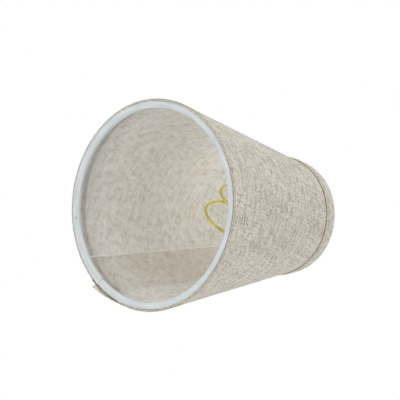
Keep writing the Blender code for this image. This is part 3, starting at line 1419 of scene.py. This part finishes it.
@dataclass
class TopBand:
    """The narrow rim: a self-fabric strip folded over the top ring."""

    cone: Cone
    wall: float = 0.5 * MM
    reach: float = 0.8 * MM + 0.3 * MM
    outside: float = 11.5 * MM
    inside: float = 6.0 * MM
    corner: float = 1.2 * MM
    start: float = 200 * DEGREE
    lap: float = 9 * DEGREE
    notch: float = 2.2 * DEGREE
    hug_run: float = 2.2 * MM
    hug_depth: float = 0.75 * MM
    lap_at: float = 74 * DEGREE
    lap_ramp: float = 15 * DEGREE
    lap_step: float = 0.55 * MM
    end_ramp: float = 2.5 * DEGREE
    end_rise: float = 1.1
    uneven: float = 0.07 * MM
    waver: float = 0.22 * MM
    line_wire: float = 0.15 * MM

    def __post_init__(self) -> None:
        """Reads the ring's size and place from the CAD."""
        self.wire, self.ring_radius, self.ring_height = ring_size("top_ring")
        self.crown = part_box("top_band")[1].z - self.wall / 2
        self.low = self.ring_height + self.wire - self.outside
        self.inner_radius = self.ring_radius - self.wire - 0.3 * MM - self.wall / 2
        self.profile = self.folded_profile()
        lengths = [(b - a).length for a, b in zip(self.profile, self.profile[1:])]
        self.marks = [sum(lengths[:at]) for at in range(len(lengths) + 1)]

    def folded_profile(self) -> list[Vector]:
        """The strip's section, from its outer edge over the ring to its inner edge."""
        corners = [
            (self.cone.radius(self.low) + self.reach, 0, self.low),
            (self.cone.radius(self.crown) + self.reach, 0, self.crown),
            (self.inner_radius, 0, self.crown),
            (self.inner_radius, 0, self.crown - self.inside),
        ]
        sparse = rounded(corners, self.corner, 5)
        dense = [sparse[0]]
        for before, after in zip(sparse, sparse[1:]):
            runs = steps_between(0, 1, min(1.0, 0.9 * MM / (after - before).length))
            dense += [before.lerp(after, share) for share in runs[1:]]
        return dense

    def place(self, angle: float, along: float) -> Vector:
        """A point of the strip's middle surface.

        Args:
            angle: The angle round the shade.
            along: The distance along the folded section from its outer edge.

        Returns:
            The point, with the raised last end and a slightly uneven lower edge.
        """
        at = min(max(sum(mark <= along for mark in self.marks) - 1, 0), len(self.marks) - 2)
        before, after = self.profile[at], self.profile[at + 1]
        share = (along - self.marks[at]) / (self.marks[at + 1] - self.marks[at])
        middle = before.lerp(after, min(max(share, 0.0), 1.0))
        way = (after - before).normalized()
        normal = Vector((way.z, 0, -way.x))
        over = smooth_step((angle - self.start - FULL_TURN) / self.end_ramp)
        rough = noise.noise(Vector((math.cos(angle) * 9, math.sin(angle) * 9, along * 150)))
        moved = middle + normal * (over * self.wall * self.end_rise + rough * self.uneven)
        edge = max(0.0, 1 - along / self.hug_run)
        waver = noise.noise(Vector((math.cos(angle) * 5, math.sin(angle) * 5, 3.3)))
        height = moved.z + waver * edge * self.waver
        reach = moved.x - edge * self.hug(angle)
        return Vector((reach * math.cos(angle), reach * math.sin(angle), height))

    def hug(self, angle: float) -> float:
        """How far the strip's lower edge is pressed in, which is less over the lap."""
        past = (angle % FULL_TURN) - self.lap_at
        on_lap = smooth_step(past / self.lap_ramp + 1) * (past < self.lap_ramp)
        return self.hug_depth - on_lap * self.lap_step

    def grain(self, angle: float, along: float) -> tuple[float, float]:
        """The strip is cut straight along the weft."""
        return angle * self.cone.radius(self.crown), along

    def kept(self, angle: float, along: float) -> bool:
        """Whether a face is there: the inner leg is notched for the bar's two ends."""
        off = abs((angle + math.pi / 2) % math.pi - math.pi / 2)
        height = self.place(angle, along).z
        inner_leg = along > self.marks[-1] - self.inside
        return not (inner_leg and off < self.notch and height < self.ring_height - self.wire)

    def columns(self) -> list[float]:
        """The angles round the strip, with one at each side of both notches."""
        made = set(steps_between(self.start, self.start + FULL_TURN + self.lap, 1.5 * DEGREE))
        for half_turn in range(2, 5):
            middle = half_turn * math.pi
            sides = {middle - self.notch, middle, middle + self.notch}
            inside = {a for a in sides if self.start < a < self.start + FULL_TURN + self.lap}
            made = {a for a in made if abs(a - middle) > self.notch * 1.3} | inside
        return sorted(made)

    def build(self) -> None:
        """Builds the strip, its edge line and fraying, and the ring inside it."""
        strip = grid(
            "folded_top_band",
            self.columns(),
            self.marks,
            self.place,
            {Map.GRAIN: self.grain},
            self.kept,
        )
        thicken(strip, self.wall, BAND_LINEN, RAW_EDGE)
        edge_radius = self.cone.radius(self.low) + self.reach - self.hug_depth + 0.1 * MM
        wire = self.line_wire
        # The brown line under the band's lower edge is partly its glued raw edge and partly
        # painted shadow under the edge.
        line = level_wire("band_edge_line", edge_radius, self.low - wire, wire, GLUE, fine=True)
        ends = FRAY.run(
            path_object(
                "frayed_band_edge", circle(edge_radius, self.low - 0.1 * MM, 240), closed=True
            ),
            count=240,
            length=0.9 * MM,
            thickness=0.05 * MM,
            outward=0.5,
            downward=0.9,
            seed=8,
            material=YARN.make(),
        )
        ring = level_wire(
            "top_wire_ring", self.ring_radius, self.ring_height, self.wire, ZINC
        )
        put(strip, Slot.LINEN, replaces=["top_band"])
        put(line, Slot.LINEN)
        put(ends, Slot.LINEN)
        put(ring, Slot.RING, replaces=["top_ring"])
        circumference = self.cone.radius(self.crown) * (FULL_TURN + self.lap)


# ------------------------------------------------------------------ bulb clip


@dataclass
class BulbClip:
    """A bar across the narrow end, and the two sprung wire loops that hang from it.

    The loops' size, spread and lean repeat the CAD's, which gives only their boxes.
    """

    bar_wire: float = 1.0 * MM
    bar_flat: float = 9 * MM
    bar_bend: float = 5 * MM
    bar_end_run: float = 4 * MM
    clip_wire: float = 0.9 * MM
    neck: float = 1.5 * MM
    bridge_half: float = 3.4 * MM
    gap: float = 0.3 * MM
    half_width: float = 18.2 * MM
    lower_height: float = 28.8 * MM
    upper_height: float = 15.2 * MM
    centre_drop: float = 22.2 * MM
    spread: float = 7.7 * MM
    lean: float = 2.1 * DEGREE
    shoulder: float = 18 * DEGREE
    neck_bend: float = 1.1 * MM
    sides: int = 14
    egg_step: float = 0.06
    end_inset: float = 1.0 * MM
    bend_reach: float = 0.1 * MM
    bend_size: tuple[float, float, float] = (0.92, 0.92, 0.92)
    end_braze_rise: float = 1.15 * MM
    end_braze_size: tuple[float, float, float] = (1.15, 1.5, 1.0)
    clip_braze_rise: float = 1.05 * MM
    clip_braze_size: tuple[float, float, float] = (1.05, 1.1, 0.75)
    lump_around: int = 16
    lump_up: int = 10
    lump_rough: float = 0.08

    def __post_init__(self) -> None:
        """Reads the bar's and the bridges' places from the CAD."""
        low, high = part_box("support_bar")
        self.bar_end = Vector((high.x, 0, high.z - self.bar_wire))
        self.bar_height = low.z + self.bar_wire
        low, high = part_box("clip_bridge_left")
        self.bridge_height = (low.z + high.z) / 2
        self.centre = self.bridge_height - self.centre_drop

    def wire(
        self,
        name: str,
        points: Sequence[Vector],
        radius: float,
        body: Body = Body.SHADE,
    ) -> bpy.types.Object:
        """One piece of wire that replaces a CAD node.

        Args:
            name: The CAD node's name. The piece's name is this and "_wire".
            points: The line that the wire follows.
            radius: The wire's radius.
            body: The CAD body that it moves with.

        Returns:
            The new piece.
        """
        made = WIRE.run(
            path_object(name + "_wire", points),
            wire_radius=radius,
            sides=self.sides,
            material=BRASS.make(),
        )
        made.data.set_sharp_from_angle(angle=50 * DEGREE)
        return put(made, Slot.BRASS, body, [name])

    def bar_path(self) -> list[Vector]:
        """The bar's line: level ends, sloping arms and a level middle."""
        knee = self.bar_end.x - self.end_inset - self.bar_end_run
        end, low = self.bar_end.z, self.bar_height
        corners = [
            (-self.bar_end.x, 0, end),
            (-knee, 0, end),
            (-self.bar_flat, 0, low),
            (self.bar_flat, 0, low),
            (knee, 0, end),
            (self.bar_end.x, 0, end),
        ]
        return rounded(corners, self.bar_bend, 12)

    def leaning(self, across: float, height: float, side: int) -> Vector:
        """A point of a loop's leaning plane."""
        outward = self.spread + (self.centre - height) * math.tan(self.lean)
        return Vector((across, side * outward, height))

    def loop_path(self, side: int) -> list[Vector]:
        """The line of one loop: down a neck, round the egg and back up the other neck.

        Args:
            side: 1 for the loop on the +Y side, -1 for the other.

        Returns:
            The points of the line in order.
        """
        head = self.centre + self.upper_height
        end = (self.neck, side * (self.bridge_half + self.gap), self.bridge_height)
        elbow = self.leaning(self.neck, self.bridge_height, side)
        throat = self.leaning(self.neck, head, side)
        start = math.pi / 2 - self.shoulder
        egg = []
        for turn in steps_between(start, start - FULL_TURN + 2 * self.shoulder, -self.egg_step):
            reach = self.upper_height if math.sin(turn) > 0 else self.lower_height
            across = self.half_width * math.cos(turn)
            egg.append(self.leaning(across, self.centre + reach * math.sin(turn), side))
        neck = rounded([end, elbow, throat, egg[0]], self.neck_bend, 6)[:-1]
        other = [Vector((-place.x, place.y, place.z)) for place in reversed(neck)]
        return neck + egg + other

    def blob(
        self,
        name: str,
        centres: Sequence[Vector],
        size: tuple[float, float, float],
        finish: Finish,
    ) -> bpy.types.Object:
        """Rounded lumps of braze or wire end, joined in one piece.

        Args:
            name: The piece's name.
            centres: The middle of each lump.
            size: The lumps' three half sizes in mm.
            finish: The finish of all of them.

        Returns:
            The new piece.
        """
        points, faces, half = [], [], Vector(size) * MM
        around, up = self.lump_around, self.lump_up
        for centre in centres:
            first = len(points)
            for row in range(up + 1):
                tilt = math.pi * row / up
                for column in range(around):
                    turn = FULL_TURN * column / around
                    way = Vector(
                        (
                            math.sin(tilt) * math.cos(turn),
                            math.sin(tilt) * math.sin(turn),
                            math.cos(tilt),
                        )
                    )
                    lumpy = 1 + self.lump_rough * noise.noise(way * 1.7 + centre / MM)
                    points.append(centre + way * half * lumpy)
            for row in range(up):
                for column in range(around):
                    beside = (column + 1) % around
                    here, below = first + row * around, first + (row + 1) * around
                    faces.append(
                        (here + column, below + column, below + beside, here + beside)
                    )
        mesh = bpy.data.meshes.new(name)
        mesh.from_pydata([tuple(point) for point in points], [], faces)
        mesh.materials.append(finish.make())
        made = link(name, mesh)
        weld = made.modifiers.new("poles", "WELD")
        weld.merge_threshold = 0.005 * MM
        return put(freeze(made), Slot.BRASS)

    def build(self) -> None:
        """Builds the bar, the bridges under it, both loops and the brazed joints."""
        self.wire("support_bar", self.bar_path(), self.bar_wire)
        for name, side in (("clip_bridge_left", -1), ("clip_bridge_right", 1)):
            reach = self.bridge_half
            ends = [
                Vector((side * self.neck, y, self.bridge_height)) for y in (-reach, 0, reach)
            ]
            self.wire(name, ends, self.clip_wire)
        self.wire("jaw_a", self.loop_path(1), self.clip_wire, Body.JAW_A)
        self.wire("jaw_b", self.loop_path(-1), self.clip_wire, Body.JAW_B)
        sides = (-1, 1)
        reach = self.bridge_half + self.bend_reach
        bends = [
            Vector((across * self.neck, side * reach, self.bridge_height))
            for across in sides
            for side in sides
        ]
        self.blob("clip_wire_bends", bends, self.bend_size, BRASS)
        out, high = self.bar_end.x - self.bend_reach, self.bar_end.z + self.end_braze_rise
        ends = [Vector((side * out, 0, high)) for side in sides]
        self.blob("bar_end_brazing", ends, self.end_braze_size, SOLDER)
        high = self.bridge_height + self.clip_braze_rise
        welds = [Vector((side * self.neck, 0, high)) for side in sides]
        self.blob("clip_brazing", welds, self.clip_braze_size, SOLDER)


# --------------------------------------------------------------------- studio


@dataclass
class Studio:
    """Pale floor, soft light and the camera."""

    floor_drop: float = 0.80
    floor_half: float = 30.0
    camera_place: tuple[float, float, float] = (0.37209, -0.32346, -0.57943)
    camera_forward: tuple[float, float, float] = (-0.4701, 0.3992, 0.7872)
    camera_down: tuple[float, float, float] = (0.6998, 0.7121, 0.0568)
    lens: float = 112.5
    world: float = 1.0
    key_power: float = 1.0
    key_size: float = 0.5
    key_distance: float = 0.8
    glow_power: float = 0.027
    glow_size: float = 0.03
    glow_place: tuple[float, float, float] = (-0.01, -0.01, 0.1)

    def build(self) -> None:
        """Sets up the whole studio."""
        scene = bpy.context.scene
        scene.view_settings.view_transform = "Standard"
        self.sky(scene)
        self.floor()
        self.camera(scene)
        up = -Vector(self.camera_down)
        middle = Vector((0, 0, 0.07))
        towards = (up - Vector(self.camera_forward) * 0.4).normalized()
        self.area("key_light", middle + towards * self.key_distance, middle)
        self.glow()

    def sky(self, scene: bpy.types.Scene) -> None:
        """An even white room all round."""
        world = bpy.data.worlds.new("white_room")
        world.use_nodes = True
        back = world.node_tree.nodes["Background"]
        back.inputs["Color"].default_value = (1, 1, 1, 1)
        back.inputs["Strength"].default_value = self.world
        scene.world = world

    def floor(self) -> None:
        """A wide sheet of pale paper, well below the shade."""
        half = self.floor_half
        sheet = grid(
            "studio_floor",
            steps_between(-half, half, half),
            steps_between(-half, half, half),
            lambda x, y: Vector((x, y, -self.floor_drop)),
            {},
        )
        sheet.data.materials.append(PAPER.make())

    def area(self, name: str, place: Vector, target: Vector) -> None:
        """A square soft light that points at the shade."""
        light = bpy.data.lights.new(name, "AREA")
        light.energy = self.key_power
        light.size = self.key_size
        made = bpy.data.objects.new(name, light)
        made.location = place
        made.rotation_euler = (place - target).to_track_quat("Z", "Y").to_euler()
        bpy.context.scene.collection.objects.link(made)

    def glow(self) -> None:
        """The daylight that comes through the wall, as a soft light inside the cone."""
        light = bpy.data.lights.new("through_wall_light", "POINT")
        light.energy = self.glow_power
        light.shadow_soft_size = self.glow_size
        made = bpy.data.objects.new("through_wall_light", light)
        made.location = self.glow_place
        made.visible_camera = False
        made.visible_glossy = False
        bpy.context.scene.collection.objects.link(made)

    def camera(self, scene: bpy.types.Scene) -> None:
        """The camera, which looks up into the wide end."""
        data = bpy.data.cameras.new("camera")
        data.lens = self.lens
        data.sensor_width = 36.0
        data.clip_start, data.clip_end = 0.01, 50.0
        made = bpy.data.objects.new("camera", data)
        back = -Vector(self.camera_forward).normalized()
        up = -Vector(self.camera_down)
        right = up.cross(back).normalized()
        up = back.cross(right)
        turn = Matrix((right, up, back)).transposed().to_4x4()
        made.matrix_world = Matrix.Translation(self.camera_place) @ turn
        scene.collection.objects.link(made)
        scene.camera = made


WIRE = wire_nodes()
FRAY = fray_nodes()


def main() -> None:
    """Builds the studio and then each sub-assembly in order."""
    logging.basicConfig(level=logging.INFO, format="%(name)s: %(message)s")
    cone = Cone()
    Studio().build()
    Liner(cone).build()
    Cover(cone).build()
    RimBinding().build()
    TopBand(cone).build()
    BulbClip().build()


if __name__ == "__main__":
    main()
